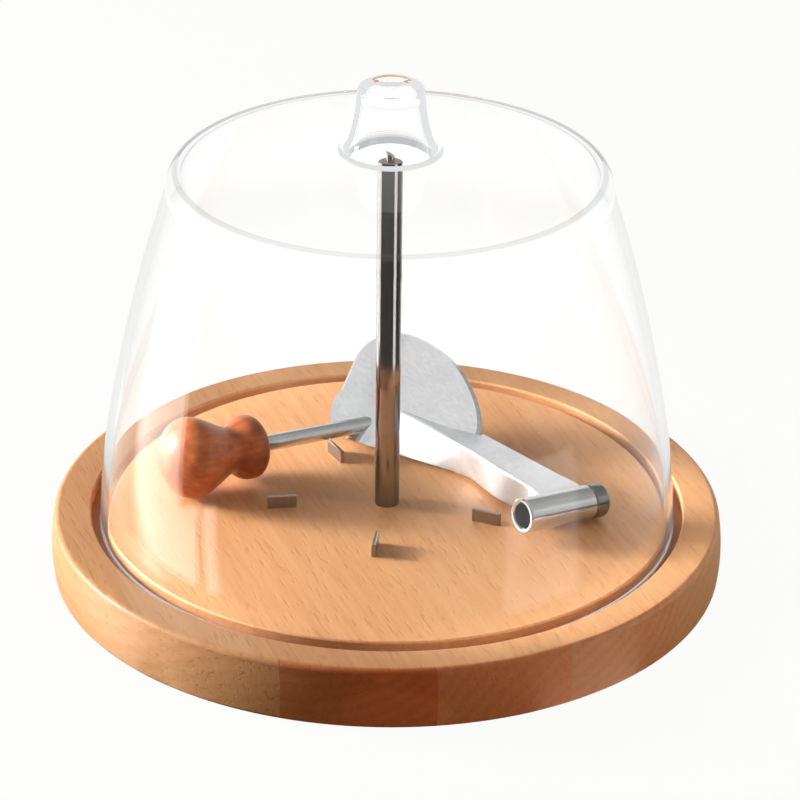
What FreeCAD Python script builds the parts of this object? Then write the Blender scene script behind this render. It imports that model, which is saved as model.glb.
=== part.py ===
import FreeCAD, Part
import math
import os

os.makedirs("parts", exist_ok=True)

# A cheese curler: a round board with a spindle, a clear cover and a hand
# scraper that lies on the board.  Millimetres, +Z up, the origin is the
# middle of the board's underside.

Vector = FreeCAD.Vector
ORIGIN = Vector(0, 0, 0)
UP = Vector(0, 0, 1)
GAP = 0.3

# round board of five glued staves
BOARD_RADIUS = 110.0
BOARD_HEIGHT = 20.4
BOARD_SIDE = [(109.5, 1.6), (110.0, 8.0), (109.2, 18.3)]
BOARD_FOOT_RADIUS = 107.9
BOARD_RIM_RADIUS = 107.2
GROOVE_INNER = 91.4
GROOVE_OUTER = 97.0
GROOVE_DEPTH = 4.0
GROOVE_LIP = 0.5
STAVE_WIDTH = 44.0
STAVE_TURN_DEG = 20.0
STAVE_COUNT = 5

# spindle and the screw that holds it
SPINDLE_RADIUS = 4.0
SPINDLE_FOOT_RADIUS = 3.6
SPINDLE_BOTTOM = 8.0
SPINDLE_TOP = 141.4
SPINDLE_CHAMFER = 0.4
TIP_RADIUS = 1.35
TIP_HEIGHT = 3.3
TIP_DEPTH = 6.0
TIP_SLOPE = 1.9
COUNTERBORE_RADIUS = 8.0
COUNTERBORE_DEPTH = 5.0
WASHER_RADIUS = 7.0
WASHER_THICKNESS = 1.2
SCREW_RADIUS = 2.5
SCREW_TOP = 18.0
SCREW_HEAD_RADIUS = 4.75
SCREW_HEAD_BOTTOM = 0.7
SCREW_SOCKET_ACROSS = 3.0
SCREW_SOCKET_DEPTH = 1.6
SCREW_HOLE_RADIUS = 2.8

# spikes: angle in degrees and radius of the middle of each plate
SPIKES = [(187.0, 34.7), (118.6, 36.3), (263.7, 33.2), (337.0, 35.2), (47.0, 37.4)]
SPIKE_LENGTH = 9.6
SPIKE_THICKNESS = 1.3
SPIKE_HEIGHT = 4.5
SPIKE_DEPTH = 6.0
SPIKE_BEVEL = 0.35

# clear cover: radius and height down the outside
DOME_SIDE = [(94.2, 17.0), (92.4, 40.0), (88.3, 65.0), (82.9, 90.0), (76.2, 115.0), (70.4, 133.2)]
DOME_SHOULDER = (69.6, 137.4)
DOME_TOP_RADIUS = 67.2
DOME_TOP = 139.2
DOME_CROWN = 144.7
CROWN_MIDDLE = (42.0, 142.7)
DOME_WALL = 2.4
DOME_HOLE_RADIUS = 13.0

# grip on the cover: radius and height of the flared side
GRIP_SIDE = [(14.9, 145.9), (13.9, 147.8), (12.5, 152.0), (11.4, 157.4), (10.8, 162.6)]
GRIP_FOOT_RADIUS = 16.6
GRIP_FOOT_HEIGHT = 1.2
GRIP_DISC_RADIUS = 10.6
GRIP_DISC_ROUND = 1.8
GRIP_TOP = 167.0
GRIP_WALL = 2.1
GRIP_DIMPLE_RADIUS = 4.2
GRIP_DIMPLE_DEPTH = 0.7

# scraper: where the lower end of its tube lies on the board
SCRAPER_END = Vector(69.49, -7.97, 26.5)
SCRAPER_TURN_DEG = 35.5
SCRAPER_TILT_DEG = 6.3
SCRAPER_ROLL_DEG = -2.0

# tube that runs on the spindle
HUB_RADIUS = 5.75
HUB_BORE_RADIUS = 4.08
HUB_LENGTH = 32.5
HUB_CHAMFER = 0.45
BUSH_LENGTH = 5.5
BUSH_SLEEVE_RADIUS = 4.95
BUSH_SLEEVE_LENGTH = 6.0

# arm: distance from the tube, then height and side offset of the four corners
# (front top, front bottom, back bottom, back top)
ARM_STATIONS = [
    (0.5, (23.3, 4.6), (23.3, -4.2), (9.2, -4.2), (6.2, 4.6)),
    (9.0, (22.9, 5.1), (22.9, -5.6), (9.0, -5.6), (6.3, 5.1)),
    (22.0, (22.5, 5.0), (22.2, -6.1), (8.8, -6.1), (6.8, 5.0)),
    (37.0, (22.1, 5.0), (20.8, -6.2), (8.7, -6.2), (7.4, 5.0)),
    (47.5, (22.0, 5.0), (20.7, -6.3), (8.6, -6.3), (7.8, 5.0)),
    (57.0, (22.1, 5.1), (25.7, -7.2), (9.0, -7.2), (8.3, 5.1)),
    (64.0, (22.2, 5.3), (30.3, -8.2), (10.0, -8.4), (9.5, 5.3)),
    (71.0, (22.9, 5.8), (35.2, -8.7), (11.0, -8.8), (12.0, 5.8)),
    (77.0, (24.2, 6.4), (39.2, -8.9), (12.0, -9.0), (15.0, 6.4)),
    (82.0, (25.9, 6.8), (42.7, -8.8), (13.0, -9.0), (18.0, 6.8)),
]
ARM_EDGE_ROUND = 1.1
ARM_FRONT_WALL = 1.5
ARM_TOP_WALL = 2.4
ARM_HOLLOW = [(11.0, 22.9, 5.0), (30.0, 21.4, 5.0), (45.0, 20.6, 5.0), (54.6, 22.1, 5.1)]

# blade: corner of its upper face and the directions of that face
BLADE_CORNER = Vector(90.63, 4.62, 42.54)
BLADE_ALONG = Vector(-0.8913, 0.0338, -0.4521)
BLADE_ACROSS = Vector(0.2913, -0.7215, -0.6281)
BLADE_THICKNESS = 1.4
BLADE_BACK = 0.8
BLADE_GRIND = 1.1
BLADE_EDGE = [(46.4, 11.2), (48.2, 15.4), (47.0, 20.4), (41.0, 29.0), (28.9, 38.6),
              (16.5, 42.8), (6.9, 43.5), (-1.8, 39.2), (-5.8, 29.6)]
BLADE_END = (-5.6, 15.0)
BLADE_STEP = 49.0
ARM_LEDGE = 45.5
RIVETS = [(31.0, 9.5), (38.5, 10.0)]
RIVET_RADIUS = 1.3
RIVET_HEAD_RADIUS = 2.3
RIVET_HEAD_HEIGHT = 0.9
RIVET_GRIP = 1.4

# handle: rod, its socket and the turned wooden knob
CRANK_RADIUS = 86.3
ROD_RADIUS = 2.7
ROD_FOOT = 26.5
ROD_SHOULDER = 77.2
ROD_NECK_RADIUS = 2.4
ROD_END = 98.0
SOCKET_RADIUS = 4.6
SOCKET_BOTTOM = 25.0
KNOB_FACE = 77.5
KNOB_SIDE = [(10.7, 81.2), (10.4, 83.8), (8.9, 86.4), (7.9, 88.6), (8.1, 90.2), (9.1, 92.6),
             (10.4, 95.2), (11.8, 98.0), (13.0, 100.8), (13.5, 103.4), (13.1, 105.8),
             (11.6, 108.4), (9.2, 110.6), (6.4, 112.2), (4.2, 112.95)]
KNOB_FACE_RADIUS = 7.6
KNOB_END = 113.4
KNOB_BORE_RADIUS = 2.55
POCKET_RADIUS = 4.2
POCKET_FLOOR = 97.7
PLUG_BOTTOM = 104.5
ROD_WASHER_RADIUS = 3.9
ROD_WASHER_THICKNESS = 1.0
ROD_SCREW_RADIUS = 1.5
ROD_SCREW_LENGTH = 10.0
ROD_SCREW_HEAD_RADIUS = 2.8
ROD_SCREW_HEAD_HEIGHT = 2.2


def at(radius, height):
    """Point of a turned profile."""
    return Vector(radius, 0, height)


def path(*points):
    """Straight edges through the given profile points."""
    corners = [at(*point) for point in points]
    return [Part.makeLine(start, end) for start, end in zip(corners, corners[1:])]


def bend(start, middle, end):
    """Arc through three profile points."""
    return [Part.Arc(at(*start), at(*middle), at(*end)).toShape()]


def sweep_curve(points):
    """Smooth curve through profile points."""
    curve = Part.BSplineCurve()
    curve.interpolate([at(*point) for point in points])
    return [curve.toShape()]


def turned(edges):
    """Solid of revolution about Z from a closed profile."""
    face = Part.Face(Part.Wire(edges))
    return face.revolve(ORIGIN, UP, 360)


def rod(radius, bottom, top):
    """Cylinder on the Z axis."""
    return Part.makeCylinder(radius, top - bottom, Vector(0, 0, bottom))


def ring(outer, inner, bottom, top):
    """Tube on the Z axis."""
    return rod(outer, bottom, top).cut(rod(inner, bottom, top))


def chamfered_rod(radius, bottom, top, bevel):
    """Cylinder whose top edge is bevelled."""
    return turned(path((0, bottom), (radius, bottom), (radius, top - bevel),
                       (radius - bevel, top), (0, top), (0, bottom)))


def hexagon(across, bottom, top):
    """Six-sided prism on the Z axis, measured across its flats."""
    corner = across / math.sqrt(3)
    points = [Vector(corner * math.cos(k * math.pi / 3), corner * math.sin(k * math.pi / 3), bottom)
              for k in range(7)]
    return Part.Face(Part.makePolygon(points)).extrude(Vector(0, 0, top - bottom))


def save(name, shape):
    """Write one piece."""
    shape.exportStep("parts/" + name + ".step")


# ---------------------------------------------------------------- board


def board_blank():
    """Whole round board with its groove, before it is divided into staves."""
    top, floor = BOARD_HEIGHT, BOARD_HEIGHT - GROOVE_DEPTH
    side_foot, side_rim = BOARD_SIDE[0], BOARD_SIDE[-1]
    edges = path((0, top), (0, 0), (BOARD_FOOT_RADIUS, 0))
    edges += bend((BOARD_FOOT_RADIUS, 0), (BOARD_FOOT_RADIUS + 1.15, 0.5), side_foot)
    edges += sweep_curve(BOARD_SIDE)
    edges += bend(side_rim, (BOARD_RIM_RADIUS + 1.4, top - 0.6), (BOARD_RIM_RADIUS, top))
    edges += path((BOARD_RIM_RADIUS, top), (GROOVE_OUTER + GROOVE_LIP, top),
                  (GROOVE_OUTER, top - GROOVE_LIP), (GROOVE_OUTER, floor),
                  (GROOVE_INNER, floor), (GROOVE_INNER, top - GROOVE_LIP),
                  (GROOVE_INNER - GROOVE_LIP, top), (0, top))
    return turned(edges)


def staves(blank, tools):
    """Divide the board into parallel staves and cut the seats of the other pieces."""
    pieces = []
    reach = 2.4 * BOARD_RADIUS
    for index in range(STAVE_COUNT):
        left = (index - STAVE_COUNT / 2) * STAVE_WIDTH
        slab = Part.makeBox(STAVE_WIDTH, reach, 2 * BOARD_HEIGHT, Vector(left, -reach / 2, -5))
        slab.rotate(ORIGIN, UP, STAVE_TURN_DEG)
        piece = blank.common(slab)
        for tool in tools:
            piece = piece.cut(tool)
        pieces.append(piece)
    return pieces


def spindle_seat():
    """Bore of the spindle with the counterbore below it."""
    seat = rod(SPINDLE_FOOT_RADIUS, SPINDLE_BOTTOM, BOARD_HEIGHT + 1)
    seat = seat.fuse(rod(SCREW_HOLE_RADIUS, COUNTERBORE_DEPTH - 1, SPINDLE_BOTTOM + 1))
    return seat.fuse(rod(COUNTERBORE_RADIUS, -1, COUNTERBORE_DEPTH))


def spindle_bar():
    """Steel bar whose thinner foot sits in the board up to a shoulder."""
    radius, foot, bevel = SPINDLE_RADIUS, SPINDLE_FOOT_RADIUS, SPINDLE_CHAMFER
    return turned(path((0, SPINDLE_BOTTOM), (foot, SPINDLE_BOTTOM), (foot, BOARD_HEIGHT),
                       (radius, BOARD_HEIGHT), (radius, SPINDLE_TOP - bevel),
                       (radius - bevel, SPINDLE_TOP), (0, SPINDLE_TOP), (0, SPINDLE_BOTTOM)))


def spindle_tip():
    """Thin pin in the end of the spindle, cut off at a slant."""
    bottom, top = SPINDLE_TOP - TIP_DEPTH, SPINDLE_TOP + TIP_HEIGHT
    pin = rod(TIP_RADIUS, bottom, top)
    width = 2 * TIP_RADIUS
    corners = [Vector(-TIP_RADIUS, -width, top), Vector(TIP_RADIUS + GAP, -width, top - TIP_SLOPE),
               Vector(TIP_RADIUS + GAP, -width, top + 1), Vector(-TIP_RADIUS, -width, top + 1)]
    wedge = Part.Face(Part.makePolygon(corners + corners[:1])).extrude(Vector(0, 2 * width, 0))
    return pin.cut(wedge)


def spindle_screw():
    """Pan head screw with a hexagon socket, pointing up into the spindle."""
    under_head = COUNTERBORE_DEPTH - WASHER_THICKNESS
    low, radius = SCREW_HEAD_BOTTOM, SCREW_HEAD_RADIUS
    edges = path((0, SCREW_TOP), (0, low), (radius - 1.4, low))
    edges += bend((radius - 1.4, low), (radius - 0.4, low + 0.5), (radius, low + 1.6))
    edges += path((radius, low + 1.6), (radius, under_head), (SCREW_RADIUS, under_head),
                  (SCREW_RADIUS, SCREW_TOP - 0.5), (SCREW_RADIUS - 0.5, SCREW_TOP), (0, SCREW_TOP))
    return turned(edges).cut(hexagon(SCREW_SOCKET_ACROSS, low - 1, low + SCREW_SOCKET_DEPTH))


def spike(angle, radius):
    """Upright steel plate, driven into the board on a radius."""
    top = BOARD_HEIGHT + SPIKE_HEIGHT
    half, bevel = SPIKE_THICKNESS / 2, SPIKE_BEVEL
    start = radius - SPIKE_LENGTH / 2
    corners = [Vector(start, -half, BOARD_HEIGHT - SPIKE_DEPTH),
               Vector(start, half, BOARD_HEIGHT - SPIKE_DEPTH),
               Vector(start, half, top - bevel), Vector(start, half - bevel, top),
               Vector(start, bevel - half, top), Vector(start, -half, top - bevel)]
    plate = Part.Face(Part.makePolygon(corners + corners[:1])).extrude(Vector(SPIKE_LENGTH, 0, 0))
    plate.rotate(ORIGIN, UP, angle)
    return plate


# ---------------------------------------------------------------- cover


def dome_shell():
    """Bell-shaped cover with a crowned top and a round hole in its middle."""
    shoulder = [DOME_SIDE[-1], DOME_SHOULDER, (DOME_TOP_RADIUS, DOME_TOP)]
    rim_radius, rim = DOME_SIDE[0]
    inner = [(radius - DOME_WALL, height) for radius, height in DOME_SIDE]
    under_crown = DOME_CROWN - DOME_WALL
    inner_shoulder = [inner[-1], (66.8, 135.8), (64.6, 137.2)]
    crown_radius, crown_height = CROWN_MIDDLE
    edges = sweep_curve(DOME_SIDE) + bend(*shoulder)
    edges += bend(shoulder[-1], CROWN_MIDDLE, (DOME_HOLE_RADIUS, DOME_CROWN))
    edges += path((DOME_HOLE_RADIUS, DOME_CROWN), (DOME_HOLE_RADIUS, under_crown))
    edges += bend((DOME_HOLE_RADIUS, under_crown), (crown_radius, crown_height - DOME_WALL),
                  inner_shoulder[-1])
    edges += bend(*inner_shoulder) + sweep_curve(inner)
    edges += bend(inner[0], (rim_radius - DOME_WALL / 2, rim - 0.25), (rim_radius, rim))
    return turned(edges)


def dome_knob():
    """Hollow flared grip with a round top, open towards the inside of the cover."""
    foot, foot_top = DOME_CROWN, DOME_CROWN + GRIP_FOOT_HEIGHT
    ceiling = GRIP_TOP - 2.4
    inner = [(radius - GRIP_WALL, height) for radius, height in GRIP_SIDE]
    edges = path((DOME_HOLE_RADIUS, foot), (GRIP_FOOT_RADIUS - 0.3, foot),
                 (GRIP_FOOT_RADIUS, foot + 0.3), (GRIP_FOOT_RADIUS, foot_top - 0.4),
                 (GRIP_FOOT_RADIUS - 0.5, foot_top), GRIP_SIDE[0])
    edges += sweep_curve(GRIP_SIDE)
    disc, bulge = GRIP_DISC_RADIUS, GRIP_DISC_ROUND
    diagonal = bulge * math.sqrt(0.5)
    edges += bend(GRIP_SIDE[-1], (disc + 0.15, 163.9), (disc, GRIP_TOP - bulge))
    edges += bend((disc, GRIP_TOP - bulge),
                  (disc - bulge + diagonal, GRIP_TOP - bulge + diagonal), (disc - bulge, GRIP_TOP))
    edges += path((disc - bulge, GRIP_TOP), (GRIP_DIMPLE_RADIUS, GRIP_TOP))
    dimple = GRIP_TOP - GRIP_DIMPLE_DEPTH
    edges += bend((GRIP_DIMPLE_RADIUS, GRIP_TOP), (2.6, GRIP_TOP - 0.48), (1.0, dimple))
    edges += path((1.0, dimple), (0, dimple), (0, ceiling), (6.4, ceiling))
    edges += bend((6.4, ceiling), (7.4, ceiling - 0.5), inner[-1])
    edges += sweep_curve(inner)
    edges += path(inner[0], (inner[0][0], foot - DOME_WALL), (DOME_HOLE_RADIUS, foot - DOME_WALL),
                  (DOME_HOLE_RADIUS, foot))
    return turned(edges)


# ---------------------------------------------------------------- scraper
# The scraper is built as it stands in use: Z along the tube towards the
# handle, X from the tube to the handle, -Y the side that looks up on the board.


def spot(out, height, side):
    """Point of the scraper from distance, height and side offset."""
    return Vector(out, -side, height)


def hub_tube():
    """Tube that runs on the spindle, bored wider for the bush."""
    outer, inner, bevel = HUB_RADIUS, HUB_BORE_RADIUS, HUB_CHAMFER
    seat_top = BUSH_LENGTH + BUSH_SLEEVE_LENGTH
    return turned(path((inner, seat_top), (inner, HUB_LENGTH - bevel), (inner + bevel, HUB_LENGTH),
                       (outer - bevel, HUB_LENGTH), (outer, HUB_LENGTH - bevel),
                       (outer, BUSH_LENGTH + bevel), (outer - bevel, BUSH_LENGTH),
                       (BUSH_SLEEVE_RADIUS, BUSH_LENGTH), (BUSH_SLEEVE_RADIUS, seat_top),
                       (inner, seat_top)))


def hub_bush():
    """Flanged bush pressed into the lower end of the tube."""
    outer, inner, bevel = HUB_RADIUS, HUB_BORE_RADIUS, HUB_CHAMFER
    seat_top = BUSH_LENGTH + BUSH_SLEEVE_LENGTH
    edges = path((inner, seat_top), (inner, bevel), (inner + bevel, 0), (outer - 1.2, 0))
    edges += bend((outer - 1.2, 0), (outer - 0.35, 0.35), (outer, 1.2))
    edges += path((outer, 1.2), (outer, BUSH_LENGTH - bevel), (outer - bevel, BUSH_LENGTH),
                  (BUSH_SLEEVE_RADIUS, BUSH_LENGTH), (BUSH_SLEEVE_RADIUS, seat_top),
                  (inner, seat_top))
    return turned(edges)


def arm_section(out, corners):
    """Closed four-sided outline with rounded corners at one distance from the tube."""
    points = [spot(out, height, side) for height, side in corners]
    sides = []
    bends = []
    for index, corner in enumerate(points):
        before = points[index - 1] - corner
        after = points[(index + 1) % len(points)] - corner
        start = corner + before.normalize() * ARM_EDGE_ROUND
        end = corner + after.normalize() * ARM_EDGE_ROUND
        middle = corner + ((start + end) * 0.5 - corner) * 0.5858
        bends.append((start, middle, end))
    for index, (start, middle, end) in enumerate(bends):
        sides.append(Part.Arc(start, middle, end).toShape())
        sides.append(Part.makeLine(end, bends[(index + 1) % len(bends)][0]))
    return Part.Wire(sides)


def arm_hollow():
    """Space behind the front wall and below the top wall of the arm."""
    outlines = []
    for out, front, top in ARM_HOLLOW:
        inside, ceiling = front - ARM_FRONT_WALL, top - ARM_TOP_WALL
        corners = [spot(out, 5, -20), spot(out, inside, -20), spot(out, inside, ceiling),
                   spot(out, 5, ceiling)]
        outlines.append(Part.makePolygon(corners + corners[:1]))
    return Part.makeLoft(outlines, True, True)


def blade_placement():
    """Place of the blade's own frame: X along the back edge, Z out of the upper face."""
    normal = BLADE_ALONG.cross(BLADE_ACROSS)
    turn = FreeCAD.Rotation(BLADE_ALONG, BLADE_ACROSS, normal, "ZXY")
    return FreeCAD.Placement(BLADE_CORNER, turn)


def on_blade(shape):
    """Move a shape from the blade's own frame into the scraper."""
    shape.Placement = blade_placement().multiply(shape.Placement)
    return shape


def scraper_arm(tools):
    """Cast arm with an angle-shaped section, seated on the blade at its outer end."""
    outlines = [arm_section(station[0], station[1:]) for station in ARM_STATIONS]
    arm = Part.makeLoft(outlines, True, False).cut(arm_hollow())
    below = Part.makeBox(BLADE_STEP + 60, 120, 60, Vector(-60, -60, -60))
    ledge = Part.makeBox(ARM_LEDGE + 60, 60, 90, Vector(-60, BLADE_BACK - 60, -45))
    for tool in [on_blade(below), on_blade(ledge), rod(HUB_RADIUS, -5, HUB_LENGTH + 5)] + tools:
        arm = arm.cut(tool)
    return arm


def blade_outline():
    """Rounded outline of the blade in its own frame."""
    def bow(*points):
        return Part.Arc(*[Vector(along, across, 0) for along, across in points]).toShape()

    def line(start, end):
        return Part.makeLine(Vector(start[0], start[1], 0), Vector(end[0], end[1], 0))

    back = BLADE_BACK
    edge = Part.BSplineCurve()
    edge.interpolate([Vector(along, across, 0) for along, across in BLADE_EDGE])
    return [line((3.0, back), (35.0, back)), bow((35.0, back), (39.0, 2.3), (41.8, 5.6)),
            line((41.8, 5.6), BLADE_EDGE[0]), edge.toShape(),
            line(BLADE_EDGE[-1], BLADE_END), bow(BLADE_END, (-3.7, 5.2), (3.0, back))]


def scraper_blade(tools):
    """Rounded steel plate, ground to an edge along its outer end."""
    face = Part.Face(Part.Wire(blade_outline()))
    plate = face.extrude(Vector(0, 0, -BLADE_THICKNESS))
    ground = [edge for edge in plate.Edges
              if abs(edge.CenterOfMass.z) < 0.01 and edge.Length > BLADE_STEP]
    plate = on_blade(plate.makeChamfer(BLADE_GRIND, ground))
    for tool in tools:
        plate = plate.cut(tool)
    return plate


def rivet(along, across):
    """Rivet through the blade into the arm, with a domed head underneath."""
    low, radius, head = -BLADE_THICKNESS, RIVET_RADIUS, RIVET_HEAD_RADIUS
    edges = path((0, RIVET_GRIP), (0, low - RIVET_HEAD_HEIGHT))
    edges += bend((0, low - RIVET_HEAD_HEIGHT), (head * 0.6, low - RIVET_HEAD_HEIGHT * 0.75),
                  (head, low))
    edges += path((head, low), (radius, low), (radius, RIVET_GRIP), (0, RIVET_GRIP))
    piece = turned(edges)
    piece.translate(Vector(along, across, 0))
    return on_blade(piece)


def handle_socket(bar):
    """Cup under the blade that holds the foot of the handle rod."""
    cup = rod(SOCKET_RADIUS, SOCKET_BOTTOM, 60)
    cup = cup.makeChamfer(0.6, [edge for edge in cup.Edges
                                if edge.BoundBox.ZMax < SOCKET_BOTTOM + 0.1])
    cup.translate(Vector(CRANK_RADIUS, 0, 0))
    above = Part.makeBox(200, 200, 100, Vector(-100, -100, -BLADE_THICKNESS))
    beyond = Part.makeBox(200, 100, 200, Vector(-100, BLADE_BACK - 99.6, -100))
    return cup.cut(on_blade(above)).cut(on_blade(beyond)).cut(bar)


def handle_rod():
    """Handle rod with a thinner neck inside the knob and a tapped end."""
    piece = rod(ROD_RADIUS, ROD_FOOT, ROD_SHOULDER).fuse(rod(ROD_NECK_RADIUS, ROD_SHOULDER, ROD_END))
    piece = piece.cut(rod(ROD_SCREW_RADIUS, ROD_END - ROD_SCREW_LENGTH, ROD_END + 1))
    return on_crank(piece)


def rod_end_washer():
    """Washer that keeps the knob on the rod."""
    return on_crank(ring(ROD_WASHER_RADIUS, ROD_SCREW_RADIUS, ROD_END,
                         ROD_END + ROD_WASHER_THICKNESS))


def rod_end_screw():
    """Screw in the end of the rod."""
    seat = ROD_END + ROD_WASHER_THICKNESS
    top = seat + ROD_SCREW_HEAD_HEIGHT
    piece = rod(ROD_SCREW_RADIUS, ROD_END - ROD_SCREW_LENGTH, seat + 1)
    piece = piece.fuse(chamfered_rod(ROD_SCREW_HEAD_RADIUS, seat, top, 0.5))
    return on_crank(piece.cut(hexagon(2.0, top - 1.2, top + 1)))


def on_crank(shape):
    """Move a shape from the Z axis onto the axis of the handle."""
    shape.translate(Vector(CRANK_RADIUS, 0, 0))
    return shape


def knob_blank():
    """Outside of the turned wooden knob."""
    edges = path((0, KNOB_END), (0, KNOB_FACE), (KNOB_FACE_RADIUS, KNOB_FACE))
    edges += bend((KNOB_FACE_RADIUS, KNOB_FACE), (9.7, 78.6), KNOB_SIDE[0])
    edges += sweep_curve(KNOB_SIDE)
    edges += bend(KNOB_SIDE[-1], (2.1, 113.28), (0, KNOB_END))
    return turned(edges)


def handle_knob():
    """Wooden knob with its bore and the pocket for washer and screw."""
    knob = knob_blank().cut(rod(KNOB_BORE_RADIUS, KNOB_FACE - 1, KNOB_END))
    return on_crank(knob.cut(rod(POCKET_RADIUS, POCKET_FLOOR, KNOB_END + 5)))


def knob_plug():
    """Wooden plug that closes the pocket, flush with the knob."""
    return on_crank(knob_blank().common(rod(POCKET_RADIUS, PLUG_BOTTOM, KNOB_END + 5)))


def scraper_placement():
    """Where the scraper lies on the board."""
    turn, tilt, roll = [math.radians(value) for value in
                        (SCRAPER_TURN_DEG, SCRAPER_TILT_DEG, SCRAPER_ROLL_DEG)]
    along = Vector(-math.cos(turn) * math.cos(tilt), -math.sin(turn) * math.cos(tilt),
                   math.sin(tilt))
    level = Vector(-math.sin(turn), math.cos(turn), 0)
    upward = level.cross(along)
    out = level * math.cos(roll) + upward * math.sin(roll)
    down = along.cross(out)
    return FreeCAD.Placement(SCRAPER_END, FreeCAD.Rotation(out, down, along, "ZXY"))


# ---------------------------------------------------------------- assembly


def build_board():
    """Board, spindle and spikes."""
    screw = spindle_screw()
    tip = spindle_tip()
    save("spindle", spindle_bar().cut(screw).cut(tip))
    save("spindle_tip", tip)
    save("spindle_screw", screw)
    save("spindle_washer", ring(WASHER_RADIUS, SCREW_HOLE_RADIUS,
                                COUNTERBORE_DEPTH - WASHER_THICKNESS, COUNTERBORE_DEPTH))
    spikes = [spike(angle, radius) for angle, radius in SPIKES]
    for number, piece in enumerate(spikes, 1):
        save("spike_%d" % number, piece)
    pieces = staves(board_blank(), [spindle_seat()] + spikes)
    for number, piece in enumerate(pieces, 1):
        save("base_stave_%d" % number, piece)


def build_cover():
    """Clear cover and its grip."""
    save("dome_shell", dome_shell())
    save("dome_knob", dome_knob())


def build_scraper():
    """Scraper and the knob that turns on it, laid on the board."""
    bar = handle_rod()
    rivets = [rivet(along, across) for along, across in RIVETS]
    pieces = {
        "hub_tube": hub_tube(),
        "hub_bush": hub_bush(),
        "scraper_arm": scraper_arm([bar] + rivets),
        "scraper_blade": scraper_blade([bar] + rivets),
        "blade_rivets": Part.makeCompound(rivets),
        "handle_socket": handle_socket(bar),
        "handle_rod": bar,
        "rod_end_washer": rod_end_washer(),
        "rod_end_screw": rod_end_screw(),
        "handle_knob": handle_knob(),
        "knob_plug": knob_plug(),
    }
    place = scraper_placement()
    for name, piece in pieces.items():
        piece.Placement = place.multiply(piece.Placement)
        save(name, piece)


build_board()
build_cover()
build_scraper()
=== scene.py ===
"""Looks of a cheese curler: round beech board, steel spindle, loose scraper and clear cover."""
import logging
import math
from dataclasses import dataclass
from enum import Enum
from typing import Optional, Union

import bmesh
import bpy
import numpy as np
from mathutils import Matrix, Vector


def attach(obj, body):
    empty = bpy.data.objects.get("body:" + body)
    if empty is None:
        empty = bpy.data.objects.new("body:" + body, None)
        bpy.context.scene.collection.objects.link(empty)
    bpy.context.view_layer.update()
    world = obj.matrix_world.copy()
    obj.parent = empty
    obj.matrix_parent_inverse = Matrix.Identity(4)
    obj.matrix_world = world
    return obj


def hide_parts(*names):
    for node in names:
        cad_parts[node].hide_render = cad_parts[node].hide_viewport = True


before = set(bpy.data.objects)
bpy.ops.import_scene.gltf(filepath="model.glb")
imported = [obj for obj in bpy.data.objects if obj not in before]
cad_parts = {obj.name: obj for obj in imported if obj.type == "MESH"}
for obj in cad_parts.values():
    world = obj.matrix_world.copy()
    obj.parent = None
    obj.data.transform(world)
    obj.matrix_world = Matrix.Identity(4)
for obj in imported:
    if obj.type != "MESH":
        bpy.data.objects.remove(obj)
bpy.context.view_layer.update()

LOG = logging.getLogger("curler")
MM = 0.001
UPRIGHT = np.eye(4)
DOUBLE = 1e-7  # metres; closer points of a turned surface are one
SKIN_DOUBLE = 1e-6  # the same for a CAD surface
SLIVER = 1e-8  # metres; shorter edges are dissolved
HAIR = 0.001  # millimetres from an outline's last point to its first

Key = Union[int, str]
Pair = tuple[float, float]
Triple = tuple[float, float, float]
Colour = tuple[float, float, float, float]
Value = Union["Wire", float, Triple, Colour]
Wires = tuple["Wire", ...]


class Body(str, Enum):
    """Rigid bodies of the curler."""

    BASE = "base"
    DOME = "dome"
    SCRAPER = "scraper"
    KNOB = "knob"


class Slot(str, Enum):
    """Material slots of the record."""

    BEECH = "beech"
    CLEAR = "clear_plastic"
    STEEL = "steel"
    BLADE = "blade_steel"
    ARM = "cast_arm"
    KNOB = "knob_wood"


# ---- shader sheets


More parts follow.
